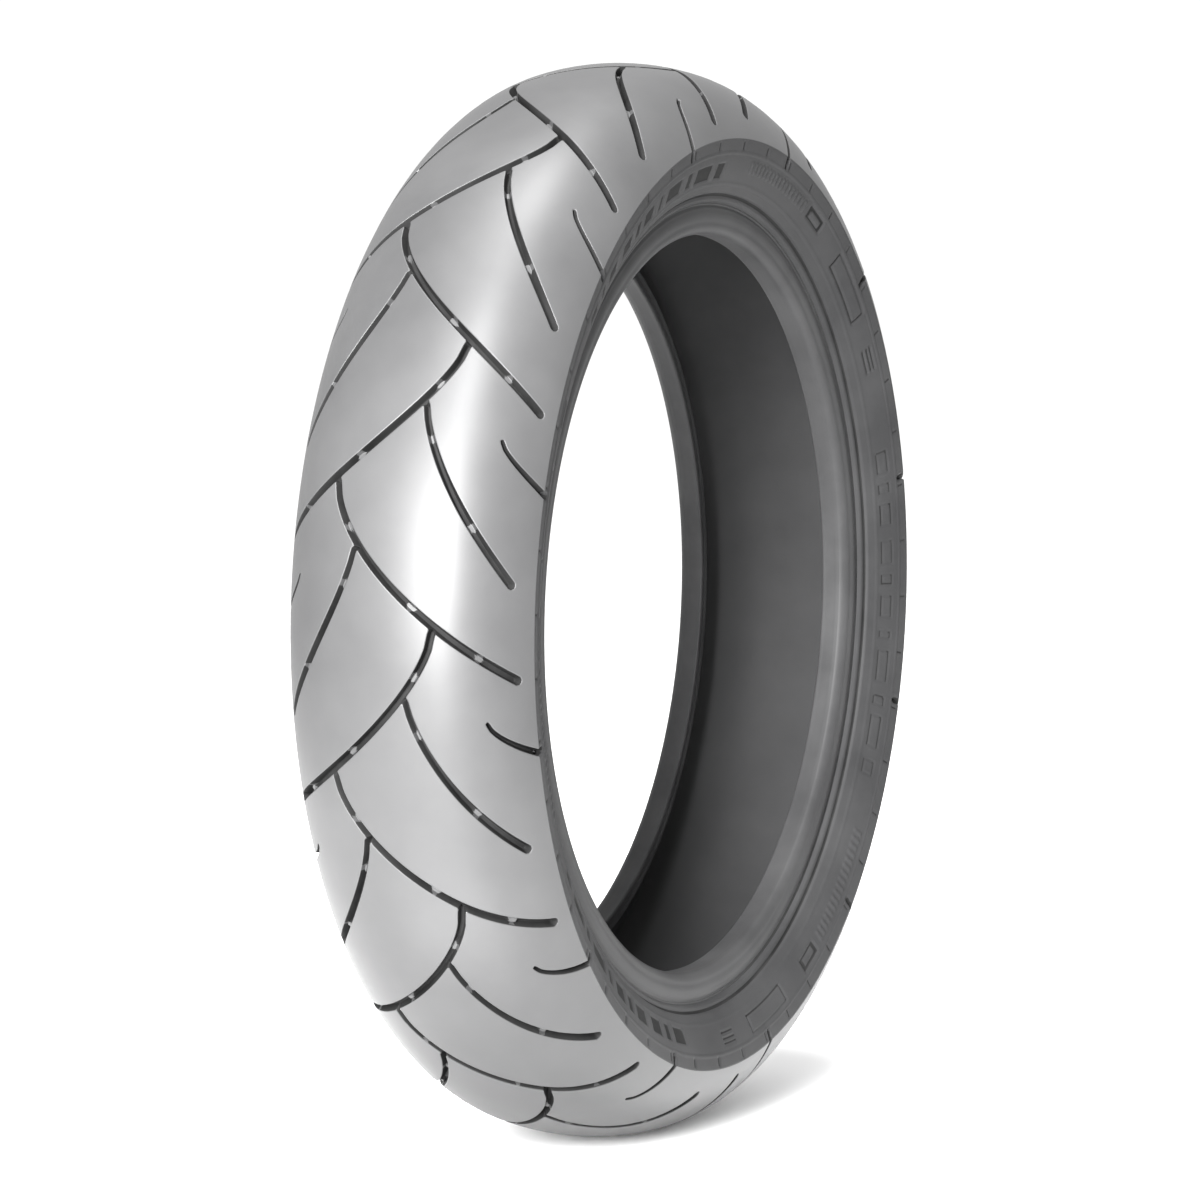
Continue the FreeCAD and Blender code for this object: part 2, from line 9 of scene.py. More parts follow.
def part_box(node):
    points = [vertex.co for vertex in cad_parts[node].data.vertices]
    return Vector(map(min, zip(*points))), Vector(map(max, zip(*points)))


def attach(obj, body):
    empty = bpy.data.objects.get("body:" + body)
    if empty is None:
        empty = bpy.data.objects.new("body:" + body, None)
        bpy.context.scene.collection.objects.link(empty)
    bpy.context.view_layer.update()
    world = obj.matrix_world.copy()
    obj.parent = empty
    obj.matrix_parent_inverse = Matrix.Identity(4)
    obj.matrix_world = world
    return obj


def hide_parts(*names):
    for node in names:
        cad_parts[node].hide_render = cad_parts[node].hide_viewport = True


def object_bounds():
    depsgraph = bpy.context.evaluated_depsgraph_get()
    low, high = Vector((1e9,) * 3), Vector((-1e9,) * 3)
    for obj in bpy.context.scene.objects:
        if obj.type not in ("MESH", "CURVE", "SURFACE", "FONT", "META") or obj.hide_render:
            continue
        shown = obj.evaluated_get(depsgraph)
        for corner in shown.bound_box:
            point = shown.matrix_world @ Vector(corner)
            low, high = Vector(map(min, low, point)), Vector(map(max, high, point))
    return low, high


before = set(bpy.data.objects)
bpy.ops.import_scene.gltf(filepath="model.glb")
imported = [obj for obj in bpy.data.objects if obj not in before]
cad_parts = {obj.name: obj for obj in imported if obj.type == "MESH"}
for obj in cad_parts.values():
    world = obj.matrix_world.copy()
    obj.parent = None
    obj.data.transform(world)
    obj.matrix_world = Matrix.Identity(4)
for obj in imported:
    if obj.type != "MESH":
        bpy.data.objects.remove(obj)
cad_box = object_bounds()

# Sizes are in millimetres and turned into metres where a mesh is made.
MM = 0.001

# the tread pattern repeats in pitches; the two hands of grooves are half a pitch apart
PITCHES = 12
PITCH = 2 * math.pi / PITCHES
PHASE = math.radians(16.8)
HAND_STARTS = {1.0: PHASE, -1.0: PHASE - PITCH / 2}

# tread surface: a crown arc, then a tighter shoulder arc, by radius and end slope
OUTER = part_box("tread_cap")[1][2] / MM
PITCH_LENGTH = PITCH * OUTER
CROWN_ARC = 122.0
CROWN_BEND = math.radians(15.0)
SHOULDER_ARC = 64.5
SHOULDER_END = math.radians(69.5)
CAP_DEPTH = 6.8
CROWN_LENGTH = CROWN_ARC * CROWN_BEND
HALF_TREAD = CROWN_LENGTH + SHOULDER_ARC * (SHOULDER_END - CROWN_BEND)
SHOULDER_CENTRE = (
    OUTER - CROWN_ARC + (CROWN_ARC - SHOULDER_ARC) * math.cos(CROWN_BEND),
    (CROWN_ARC - SHOULDER_ARC) * math.sin(CROWN_BEND),
)

# sidewall bulge, then the bead: the flange face, seat radius, heel and toe
BULGE_ARC = 74.0
FLANGE = 57.0
RIM_LINE = (237.0, FLANGE)
SEAT = 218.3
HEEL_ARC = 6.0
TOE = 41.0
TOE_ARC = 1.5
LINER_FOOT = (228.45, 43.25)

# groove wall section: distance from the groove's edge (negative inside), depth and wall slope there
WALL_LEVELS = np.array([0.60, 0.22, 0.0, -0.22, -0.85, -1.15, -1.65])
WALL_DEPTHS = np.array([0.0, 0.06, 0.28, 0.85, 4.50, 5.25, 5.60])
WALL_SLOPES = np.array([0.0, 0.45, 1.5, 5.0, 5.0, 1.4, 0.0])

# spacing of the groove field's grid, and the distance beyond which it isn't measured
GRID = 0.5
FAR = 8.0
# the last place on a grid that still has a point after it, counted back from the number of points
LAST_CELL = 1.0001
# a vertex this near a pitch's border lies on it
ON_BORDER = 1e-3
LINE_END_ON_BORDER = 1e-6


# ------------------------------------------------------------------ section of the tyre

def tread_section(across):
    """Radius, axial place and slope of the tread surface at signed lengths from its centre."""
    across = np.asarray(across, dtype=float)
    length = np.abs(across)
    side = np.where(across < 0, -1.0, 1.0)
    crown = length <= CROWN_LENGTH
    slope = np.where(
        crown, length / CROWN_ARC, CROWN_BEND + (length - CROWN_LENGTH) / SHOULDER_ARC)
    radius = np.where(
        crown, OUTER - CROWN_ARC * (1 - np.cos(slope)),
        SHOULDER_CENTRE[0] + SHOULDER_ARC * np.cos(slope))
    axial = np.where(
        crown, CROWN_ARC * np.sin(slope), SHOULDER_CENTRE[1] + SHOULDER_ARC * np.sin(slope))
    return radius, side * axial, side * slope


def around(radius, axial, angle):
    """Places in metres: the angle runs up from the -X side."""
    return np.stack([
        -radius * np.cos(angle) * MM, axial * MM, radius * np.sin(angle) * MM], axis=-1)


def directions(slope, angle):
    """Outward, across and round-the-tyre unit directions of a surface that slopes to the side."""
    zero = np.zeros_like(angle)
    outward = np.stack([
        -np.cos(slope) * np.cos(angle), np.sin(slope), np.cos(slope) * np.sin(angle)], axis=-1)
    across = np.stack([
        np.sin(slope) * np.cos(angle), np.cos(slope), -np.sin(slope) * np.sin(angle)], axis=-1)
    onward = np.stack([np.sin(angle), zero, np.cos(angle)], axis=-1)
    return outward, across, onward


# ------------------------------------------------------------------ groove layout

def soft_step(x, low, high):
    share = np.clip((x - low) / (high - low), 0.0, 1.0)
    return share * share * (3 - 2 * share)


RUN_STEP = 2.0
LEAST_RUN_POINTS = 8


def power_run(start, end, first, sweep, power, widths, gap=0.0):
    """A groove's centre line (across, angle) with half widths, by a power of its run across."""
    total = abs(end - start)
    run = np.linspace(gap, total, max(LEAST_RUN_POINTS, int((total - gap) / RUN_STEP)))
    across = start + np.sign(end - start) * run
    angle = -np.radians(first + sweep * run ** power)
    half = np.interp(run / total, [0.0, 0.5, 1.0], np.array(widths) / 2)
    return np.stack([across, angle, half], axis=-1)


def groove_runs():
    """The long groove, the branch and the shoulder notch of one hand, from the start of a pitch."""
    return [
        power_run(32.0, -81.5, 0.0, 1.08, 0.62, (4.4, 4.8, 5.4)),
        power_run(16.0, 76.5, 6.2, 1.175, 0.673, (3.6, 4.8, 5.4), gap=0.5),
        power_run(62.0, 100.0, 9.6, 0.44, 0.676, (2.4, 3.6, 4.4)),
    ]


# shares of each kind of groove's length where a low bar ties its two walls together
BAR_SHARES = ((0.10, 0.46, 0.80), (0.12, 0.62), ())
# depth of a bar's top, half its length along the groove, and the length of its flanks
BAR_DEPTH = 2.4
BAR_HALF = 2.6
BAR_FLANK = 1.4


def bar_places():
    """(across, onward) of every tie bar of one pitch."""
    places = []
    for hand, start in HAND_STARTS.items():
        for run, shares in zip(groove_runs(), BAR_SHARES):
            for share in shares:
                number = int(share * (len(run) - 1))
                onward = (start + run[number, 1]) * OUTER % PITCH_LENGTH
                places.append((hand * run[number, 0], onward))
    return places


def bar_distance(across, onward):
    """Distance from the middle of the nearest tie bar."""
    nearest = np.full(np.shape(across), FAR)
    for bar_across, bar_onward in bar_places():
        apart = np.abs(onward - bar_onward)
        apart = np.minimum(apart, PITCH_LENGTH - apart)
        nearest = np.minimum(nearest, np.hypot(across - bar_across, apart))
    return nearest


def tie_bars(depth, across, onward):
    """Raise the groove floors at the tie bars."""
    flank = soft_step(bar_distance(across, onward), BAR_HALF, BAR_HALF + BAR_FLANK)
    return np.minimum(depth, BAR_DEPTH + (WALL_DEPTHS[-1] - BAR_DEPTH) * flank)


def groove_field():
    """Distance to the nearest groove edge over one pitch, on a grid of (across, onward)."""
    rows = int(round(2 * HALF_TREAD / GRID)) + 1
    columns = int(round(PITCH_LENGTH / GRID)) + 1
    across = np.linspace(-HALF_TREAD, HALF_TREAD, rows)
    onward = np.linspace(0.0, PITCH_LENGTH, columns)
    field = np.full((rows, columns), FAR)
    for hand, start in HAND_STARTS.items():
        for run in groove_runs():
            for copy in range(-1, 3):
                line = np.stack([
                    hand * run[:, 0], (start + run[:, 1] + copy * PITCH) * OUTER, run[:, 2]], axis=-1)
                for first, second in zip(line[:-1], line[1:]):
                    stamp_segment(field, across, onward, first, second)
    field[:, -1] = field[:, 0]
    return across, onward, field


def stamp_segment(field, across, onward, first, second):
    """Lower the field near one straight piece of a groove."""
    low = np.minimum(first[:2], second[:2]) - FAR
    high = np.maximum(first[:2], second[:2]) + FAR
    rows = slice(*np.searchsorted(across, (low[0], high[0])))
    columns = slice(*np.searchsorted(onward, (low[1], high[1])))
    u = across[rows][:, None]
    v = onward[columns][None, :]
    if u.size == 0 or v.size == 0:
        return
    along = second[:2] - first[:2]
    share = ((u - first[0]) * along[0] + (v - first[1]) * along[1]) / (along @ along)
    share = np.clip(share, 0.0, 1.0)
    # a surface length round the tyre is shorter near the shoulder than at the crown
    shrink = tread_section(u)[0] / OUTER
    distance = np.hypot(
        u - first[0] - share * along[0], (v - first[1] - share * along[1]) * shrink)
    distance = distance - (first[2] + share * (second[2] - first[2]))
    field[rows, columns] = np.minimum(field[rows, columns], distance)


def sample(grid, across, onward, u, v):
    """Values of a grid between its points."""
    x = np.clip((u - across[0]) / (across[1] - across[0]), 0, len(across) - LAST_CELL)
    y = np.clip((v - onward[0]) / (onward[1] - onward[0]), 0, len(onward) - LAST_CELL)
    i, j = x.astype(int), y.astype(int)
    a, b = x - i, y - j
    return (grid[i, j] * (1 - a) * (1 - b) + grid[i + 1, j] * a * (1 - b)
            + grid[i, j + 1] * (1 - a) * b + grid[i + 1, j + 1] * a * b)


def level_lines(field, across, onward, level):
    """Lines where the field passes a level, as arrays of (across, onward) points."""
    inside = field < level
    corners = (inside[:-1, :-1].astype(int) + inside[1:, :-1] + inside[1:, 1:] + inside[:-1, 1:])
    links = {}
    for i, j in zip(*np.nonzero((corners > 0) & (corners < 4))):
        edges = []
        ring = ((i, j), (i + 1, j), (i + 1, j + 1), (i, j + 1))
        for number in range(4):
            a, b = ring[number], ring[(number + 1) % 4]
            if inside[a] != inside[b]:
                edges.append((min(a, b), max(a, b)))
        for first, second in zip(edges[::2], edges[1::2]):
            links.setdefault(first, []).append(second)
            links.setdefault(second, []).append(first)
    lines = []
    while links:
        ends = [key for key, others in links.items() if len(others) == 1]
        start = ends[0] if ends else next(iter(links))
        chain = [start]
        while True:
            here = chain[-1]
            others = links.get(here)
            if not others:
                links.pop(here, None)
                break
            following = others.pop()
            if not others:
                links.pop(here)
            links[following].remove(here)
            chain.append(following)
        if len(chain) > 2:
            lines.append(np.array([crossing(field, across, onward, key, level) for key in chain]))
    return lines


def crossing(field, across, onward, edge, level):
    (i, j), (k, m) = edge
    share = (level - field[i, j]) / (field[k, m] - field[i, j])
    return (
        across[i] + share * (across[k] - across[i]),
        onward[j] + share * (onward[m] - onward[j]),
    )


def respace(line, spacing):
    """The same line with evenly spaced points and the same ends."""
    lengths = np.concatenate([[0.0], np.cumsum(np.hypot(*np.diff(line, axis=0).T))])
    count = max(2, int(round(lengths[-1] / spacing)) + 1)
    marks = np.linspace(0.0, lengths[-1], count)
    return np.stack([np.interp(marks, lengths, line[:, k]) for k in range(2)], axis=-1)


# ------------------------------------------------------------------ one pitch, then the ring

# surface deeper than this belongs to a groove, and takes the rubber painted darker as shade
LIP_DEPTH = 0.2
LINE_SPACING = 2.0
EDGE_SPACING = 4.0
EDGE_CLEARANCE = 1.0
# points on the plain tread: spacing, margins at the two ends of a row, and distance from a groove
LAND_SPACING = 6.0
LAND_FIRST = 3.0
LAND_LAST = 2.0
LAND_CLEARANCE = 1.6
# the same for the underside, which is plain
UNDER_STOPS = 13
UNDER_SPACING = 16.0
UNDER_FIRST = 8.0
UNDER_LAST = 4.0
# half the run over which the groove field's rise is measured
PROBE = 0.4
# decimals of a millimetre at which vertices are welded, and stops on a border are told apart
WELD_DECIMALS = 2
STOP_DECIMALS = 5


def spread(low, high, taken, spacing, clearance):
    """Sorted stops between two ends: those already taken, and even ones clear of them."""
    stops = list(taken)
    for stop in np.linspace(low, high, int(round((high - low) / spacing)) + 1):
        if all(abs(stop - other) > clearance for other in taken):
            stops.append(stop)
    stops += [low, high]
    return np.unique(np.round(stops, STOP_DECIMALS))


def pitch_triangles(lines, extra, side_stops, seam_stops):
    """Triangles over one pitch that keep the given lines as edges."""
    border = [
        [(s, 0.0) for s in seam_stops], [(s, PITCH_LENGTH) for s in seam_stops],
        [(-HALF_TREAD, t) for t in side_stops[0]], [(HALF_TREAD, t) for t in side_stops[1]],
    ]
    points = []
    edges = []
    for line in lines + border:
        first = len(points)
        points.extend(map(tuple, line))
        edges.extend((first + k, first + k + 1) for k in range(len(line) - 1))
    points.extend(map(tuple, extra))
    result = delaunay_2d_cdt([Vector(p) for p in points], edges, [], 0, ON_BORDER)
    vertices = np.array([tuple(v) for v in result[0]])
    triangles = np.array([tuple(f) for f in result[2]])
    return weld(vertices, triangles)


def weld(vertices, triangles):
    """Join vertices that are nearly at one place, and drop the triangles that vanish."""
    _, first, place = np.unique(
        np.round(vertices, WELD_DECIMALS), axis=0, return_index=True, return_inverse=True)
    triangles = place.ravel()[triangles]
    a, b, c = triangles.T
    return vertices[first], triangles[(a != b) & (b != c) & (c != a)]


def repeat_pitch(vertices, triangles):
    """Copies of one pitch joined at their seams: arrays of (across, onward) and triangles."""
    at_end = vertices[:, 1] > PITCH_LENGTH - ON_BORDER
    at_start = vertices[:, 1] < ON_BORDER
    keep = np.nonzero(~at_end)[0]
    place = np.full(len(vertices), -1)
    place[keep] = np.arange(len(keep))
    starts = {round(vertices[k, 0], WELD_DECIMALS): k for k in np.nonzero(at_start)[0]}
    count = len(keep)
    all_points = []
    all_triangles = []
    for copy in range(PITCHES):
        shifted = vertices[keep].copy()
        shifted[:, 1] += copy * PITCH_LENGTH
        all_points.append(shifted)
        index = place + copy * count
        for k in np.nonzero(at_end)[0]:
            partner = starts[round(vertices[k, 0], WELD_DECIMALS)]
            index[k] = place[partner] + ((copy + 1) % PITCHES) * count
        all_triangles.append(index[triangles])
    return np.concatenate(all_points), np.concatenate(all_triangles)


def wall_slope(distance):
    return np.interp(-distance, -WALL_LEVELS, WALL_SLOPES)


def wall_depth(distance):
    return np.interp(-distance, -WALL_LEVELS, WALL_DEPTHS)


def make_mesh(name, places, faces, normals=None):
    mesh = bpy.data.meshes.new(name)
    mesh.from_pydata(places.tolist(), [], faces)
    mesh.update()
    mesh.polygons.foreach_set("use_smooth", [True] * len(mesh.polygons))
    if normals is not None:
        mesh.normals_split_custom_set_from_vertices(normals.tolist())
    piece = bpy.data.objects.new(name, mesh)
    bpy.context.scene.collection.objects.link(piece)
    return piece


def face_outward(places, triangles, normals):
    """Turn round the triangles that face against their corners' normals."""
    a, b, c = (places[triangles[:, k]] for k in range(3))
    facing = np.cross(b - a, c - a)
    wanted = normals[triangles].sum(axis=1)
    wrong = (facing * wanted).sum(axis=1) < 0
    triangles[wrong] = triangles[wrong][:, ::-1]
    return triangles


def tread_surface():
    """Points (across, onward) and triangles of the grooved surface, and the stops on its edges."""
    across, onward, field = FIELD
    lines = []
    for level in WALL_LEVELS:
        for line in level_lines(field, across, onward, level):
            if np.hypot(*np.diff(line, axis=0).T).sum() > LINE_SPACING:
                lines.append(respace(line, LINE_SPACING))
    ends = np.array([line[k] for line in lines for k in (0, -1)])
    at_seam = (
        (ends[:, 1] < LINE_END_ON_BORDER) | (ends[:, 1] > PITCH_LENGTH - LINE_END_ON_BORDER))
    on_seam = np.unique(np.round(ends[at_seam][:, 0], STOP_DECIMALS))
    seam_stops = spread(-HALF_TREAD, HALF_TREAD, on_seam, EDGE_SPACING, EDGE_CLEARANCE)
    side_stops = []
    for side in (-HALF_TREAD, HALF_TREAD):
        on_side = ends[np.abs(ends[:, 0] - side) < LINE_END_ON_BORDER][:, 1]
        side_stops.append(spread(0.0, PITCH_LENGTH, on_side, EDGE_SPACING, EDGE_CLEARANCE))
    land = np.array([
        (s, t) for s in np.arange(-HALF_TREAD + LAND_FIRST, HALF_TREAD - LAND_LAST, LAND_SPACING)
        for t in np.arange(LAND_FIRST, PITCH_LENGTH - LAND_LAST, LAND_SPACING)])
    land = land[sample(field, across, onward, land[:, 0], land[:, 1]) > LAND_CLEARANCE]
    vertices, triangles = pitch_triangles(lines, land, side_stops, seam_stops)
    return *repeat_pitch(vertices, triangles), side_stops


def groove_normals(s, t, outward, sideways, forward):
    """Unit normals of the surface, tilted by the groove walls' slopes."""
    across, onward, field = FIELD
    rise_s = (sample(field, across, onward, s + PROBE, t)
              - sample(field, across, onward, s - PROBE, t)) / (2 * PROBE)
    rise_t = (sample(field, across, onward, s, (t + PROBE) % PITCH_LENGTH)
              - sample(field, across, onward, s, (t - PROBE) % PITCH_LENGTH)) / (2 * PROBE)
    steep = wall_slope(sample(field, across, onward, s, t))[:, None]
    normals = outward - steep * (rise_s[:, None] * sideways + rise_t[:, None] * forward)
    return normals / np.linalg.norm(normals, axis=1)[:, None]


def tread_underside(side_stops):
    """Points, places, normals and triangles of the plain underside."""
    inner_across = np.linspace(-HALF_TREAD, HALF_TREAD, UNDER_STOPS)
    under = np.array([
        (u, v) for u in inner_across[1:-1]
        for v in np.arange(UNDER_FIRST, PITCH_LENGTH - UNDER_LAST, UNDER_SPACING)])
    points, triangles = repeat_pitch(*pitch_triangles([], under, side_stops, inner_across))
    radius, axial, slope = tread_section(points[:, 0])
    angle = points[:, 1] / OUTER
    outward = directions(slope, angle)[0]
    places = around(radius, axial, angle) - outward * CAP_DEPTH * MM
    return points, places, -outward, face_outward(places, triangles, -outward)


def tread_piece():
    """The tread cap: a closed layer with the grooves sunk into its outer surface."""
    points, triangles, side_stops = tread_surface()
    s, t = points[:, 0], points[:, 1] % PITCH_LENGTH
    angle = points[:, 1] / OUTER
    radius, axial, slope = tread_section(s)
    across, onward, field = FIELD
    depth = tie_bars(wall_depth(sample(field, across, onward, s, t)), s, t)
    outward, sideways, forward = directions(slope, angle)
    places = around(radius, axial, angle) - outward * depth[:, None] * MM
    normals = groove_normals(s, t, outward, sideways, forward)
    triangles = face_outward(places, triangles, outward)

    # the underside and edge skirts close the layer
    low_points, low_places, low_normals, low_triangles = tread_underside(side_stops)
    skirts = edge_skirts(points, low_points, len(points))
    faces = triangles.tolist() + (low_triangles + len(points)).tolist() + skirts
    tread = make_mesh(
        "tread", np.concatenate([places, low_places]), faces, np.concatenate([normals, low_normals]))

    # faces in the grooves, but not on the tie bars, take the second material, painted darker as shade
    # in the grooves
    sunk = np.zeros(len(faces), dtype=int)
    middles = points[triangles].mean(axis=1)
    off_bar = bar_distance(middles[:, 0], middles[:, 1] % PITCH_LENGTH) > BAR_HALF
    sunk[:len(triangles)] = (depth[triangles].min(axis=1) > LIP_DEPTH) & off_bar
    tread.data.polygons.foreach_set("material_index", sunk)
    return tread


def edge_skirts(points, low_points, offset):
    """Triangles that join the surface's two edges to the underside's."""
    faces = []
    for side in (-1, 1):
        rings = []
        for cloud, shift in ((points, 0), (low_points, offset)):
            ring = np.nonzero(np.abs(cloud[:, 0] - side * HALF_TREAD) < ON_BORDER)[0]
            ring = ring[np.argsort(cloud[ring, 1])]
            rings.append([(cloud[k, 1], int(k) + shift) for k in ring])
        for triangle in stitch(*rings):
            faces.append(triangle if side > 0 else triangle[::-1])
    return faces


def stitch(top, low):
    """Triangles between two closed rings of (place round the tyre, vertex)."""
    full = 2 * math.pi * OUTER
    top = top + [(top[0][0] + full, top[0][1])]
    low = low + [(low[0][0] + full, low[0][1])]
    faces = []
    i = j = 0
    while i < len(top) - 1 or j < len(low) - 1:
        if j == len(low) - 1 or (i < len(top) - 1 and top[i + 1][0] <= low[j + 1][0]):
            faces.append([top[i][1], top[i + 1][1], low[j][1]])
            i += 1
        else:
            faces.append([top[i][1], low[j + 1][1], low[j][1]])
            j += 1
    return faces


# ------------------------------------------------------------------ sidewalls and rim strips

SIDE_ROWS = 46
COLUMNS = 1584
SIDE_NAMES = {-1: "left", 1: "right"}
# the plain inner face of a sidewall, from the rim line to the shoulder edge
SIDEWALL_BACK = [(237.0, 53.7), (255.6, 62.8), (266.6, 65.2), (271.5, 66.9), (274.0, 72.1)]


def bulge_centre():
    """Centre of the convex sidewall arc through the shoulder edge and the rim line."""
    radius, axial, _ = tread_section(HALF_TREAD)
    edge = np.array([float(radius), float(axial)])
    foot = np.array(RIM_LINE)
    chord = edge - foot
    length = np.hypot(*chord)
    reach = math.sqrt(BULGE_ARC ** 2 - length ** 2 / 4)
    normal = np.array([chord[1], -chord[0]]) / length
    return (edge + foot) / 2 + normal * reach, edge, foot


def sidewall_profile(rows):
    """Section points and slopes from the shoulder edge to the rim line, and lengths along it."""
    centre, edge, foot = bulge_centre()
    first, last = edge - centre, foot - centre
    start, end = math.atan2(first[1], first[0]), math.atan2(last[1], last[0])
    slopes = np.linspace(start, end, rows)
    points = centre + BULGE_ARC * np.stack([np.cos(slopes), np.sin(slopes)], axis=-1)
    return points, slopes, np.abs(slopes - start) * BULGE_ARC


def bar(x, low, high, soft):
    """One between two limits, with soft flanks outside them."""
    return soft_step(x, low - soft, low) * (1 - soft_step(x, high, high + soft))


BLOCK_FLANK = 0.8
FRAME_LINE = 1.1


def rounded_bar(turn, down, centre, half_turn, top, bottom):
    """A block on the sidewall: turn is millimetres round it, down is millimetres from the edge."""
    round_it = bar(turn, centre - half_turn, centre + half_turn, BLOCK_FLANK)
    return round_it * bar(down, top, bottom, BLOCK_FLANK)


def frame_bar(turn, down, centre, half_turn, top, bottom, line=FRAME_LINE):
    """The outline of a block: a block with a smaller one taken out."""
    outside = rounded_bar(turn, down, centre, half_turn, top, bottom)
    inside = rounded_bar(turn, down, centre, half_turn - line, top + line, bottom - line)
    return outside - inside


# The marks repeat in groups round the wall, measured in millimetres at one radius.
MARK_RADIUS = 257.0
MARK_RING = 2 * math.pi * MARK_RADIUS
MARK_GROUPS = 3
GROUP_START = 190.0
# this group's blocks are outlines only
FRAMED_GROUP = 1
# plain blocks in place of moulded lettering: (half width, centre), with one height, top and bottom
BLOCK_ROW = [(7.0, 10.0), (3.0, 27.0), (7.0, 44.0), (7.0, 68.0), (3.0, 85.0), (7.0, 102.0),
             (2.0, 120.0), (10.0, 140.0), (3.0, 162.0), (10.0, 182.0), (5.0, 206.0)]
BLOCK_HEIGHT = -0.6
BLOCK_DOWN = (15.5, 24.5)
# the other marks: a height, then centre, half width, top and bottom
RIB_STEP = 5.2
RIBBED_PANEL = (0.8, (290.0, 44.0, 13.0, 19.0))
SMALL_PANEL = (-0.9, (352.0, 11.0, 11.5, 19.5))
SMALL_PANEL_MIDDLE = (0.7, (352.0, 7.0, 14.0, 17.0))
WIDE_FRAME = (-0.9, (420.0, 26.0, 11.0, 23.0, 1.6))
SHORT_BARS = [(-0.8, (478.0, 8.0, top, top + 1.1)) for top in (13.0, 16.4, 19.8)]


def group_relief(turn, down, filled):
    """Marks of one group: sunk plain blocks, a ribbed panel, framed panels and short bars."""
    relief = np.zeros(np.broadcast(turn, down).shape)
    block = rounded_bar if filled else frame_bar
    for half, centre in BLOCK_ROW:
        relief += BLOCK_HEIGHT * block(turn, down, centre, half, *BLOCK_DOWN)
    ribs = 0.5 + 0.5 * np.cos(2 * math.pi * turn / RIB_STEP)
    height, place = RIBBED_PANEL
    relief += height * ribs * rounded_bar(turn, down, *place)
    for height, place in (SMALL_PANEL, SMALL_PANEL_MIDDLE):
        relief += height * rounded_bar(turn, down, *place)
    height, place = WIDE_FRAME
    relief += height * frame_bar(turn, down, *place)
    for height, place in SHORT_BARS:
        relief += height * rounded_bar(turn, down, *place)
    return relief


# lines round the wall: height, top, bottom and flank, from below the shoulder to the rim
RING_LINES = [
    (0.5, 8.2, 8.8, 0.7), (0.4, 28.0, 28.6, 0.7), (-1.3, 36.4, 37.8, 0.8), (0.5, 39.8, 40.8, 1.0)]
# small ticks across the strip below the shoulder
TICKS_PER_PITCH = 4
TICK_DEPTH = 0.5
TICK_HALF = 0.9
TICK_FLANK_END = 1.8
TICK_DOWN = (2.0, 7.0, 0.8)


def sidewall_relief(angle, down):
    """Height of the raised and sunk marks over the plain sidewall, in millimetres."""
    relief = np.zeros(np.broadcast(angle, down).shape)
    for height, *place in RING_LINES:
        relief += height * bar(down, *place)
    for group in range(MARK_GROUPS):
        turn = (angle * MARK_RADIUS - GROUP_START - group * MARK_RING / MARK_GROUPS) % MARK_RING
        relief += group_relief(turn, down, group != FRAMED_GROUP)
    off_tick = np.abs((angle / PITCH * TICKS_PER_PITCH) % 1.0 - 0.5)
    off_tick = off_tick * PITCH / TICKS_PER_PITCH * MARK_RADIUS
    tick = 1 - soft_step(off_tick, TICK_HALF, TICK_FLANK_END)
    return relief - TICK_DEPTH * tick * bar(down, *TICK_DOWN)


# surface lower than this belongs to a sunk mark, and takes the rubber painted darker as shade
MARK_HEIGHT = -0.28
# length down the wall over which a shoulder groove runs out
RUN_OUT = 9.0


def sidewall_piece(side):
    """One sidewall, from the tread's edge to the rim line, with its marks and groove ends."""
    profile, slopes, lengths = sidewall_profile(SIDE_ROWS)
    angle = np.arange(COLUMNS) * 2 * math.pi / COLUMNS
    across, onward, field = FIELD
    t = (angle * OUTER) % PITCH_LENGTH
    edge = wall_depth(sample(field, across, onward, np.full(COLUMNS, side * HALF_TREAD), t))
    height = sidewall_relief(angle[None, :], lengths[:, None])
    # shoulder grooves run out below the edge, and turn there from the tread's slope to the wall's
    share = soft_step(lengths, 0.0, RUN_OUT)[:, None]
    run_out = edge[None, :] * (1 - share)
    slopes = slopes[:, None]
    lean = SHOULDER_END + (slopes - SHOULDER_END) * share
    radius = profile[:, :1] + height * np.cos(slopes) - run_out * np.cos(lean)
    axial = profile[:, 1:] + height * np.sin(slopes) - run_out * np.sin(lean)
    name = f"sidewall_{SIDE_NAMES[side]}_skin"
    wall = ring_piece(name, side, radius, axial, angle, SIDEWALL_BACK)
    # sunk marks and groove ends take the second material, painted darker as shade in these recesses
    painted_shade_marks = height - run_out < MARK_HEIGHT
    painted_shade_marks = painted_shade_marks[:-1] & painted_shade_marks[1:] & np.roll(painted_shade_marks, -1, axis=1)[:-1]
    sunk = np.zeros(len(wall.data.polygons), dtype=int)
    sunk[:painted_shade_marks.size] = painted_shade_marks.ravel()
    wall.data.polygons.foreach_set("material_index", sunk)
    return wall


def ring_piece(name, side, radius, axial, angle, back):
    """A closed ring from a grid of section places and a plain back that closes the section."""
    columns = len(angle)
    back = np.array(back)
    radius = np.vstack([radius, np.repeat(back[:, :1], columns, axis=1)])
    axial = np.vstack([axial, np.repeat(back[:, 1:], columns, axis=1)])
    rows = len(radius)
    places = around(radius, side * axial, np.repeat(angle[None, :], rows, axis=0)).reshape(-1, 3)
    first = np.arange(rows)[:, None] * columns
    following = (np.arange(rows)[:, None] + 1) % rows * columns
    here = np.arange(columns)[None, :]
    onward = (here + 1) % columns
    faces = np.stack([first + here, first + onward, following + onward, following + here], axis=-1)
    faces = faces.reshape(-1, 4)
    if side < 0:
        faces = faces[:, ::-1]
    return make_mesh(name, places, faces.tolist())


STRIP_COLUMNS = 480
# narrow groove inside the rim line: radius, and height over the flange face
RIM_GROOVE = [(236.2, -0.9), (235.2, -0.9), (234.4, 0.0)]
# rounded ridge above the heel that covers the edge of the rim
RIDGE_RADIUS = 229.5
RIDGE_HALF = 4.0
RIDGE_HEIGHT = 0.7
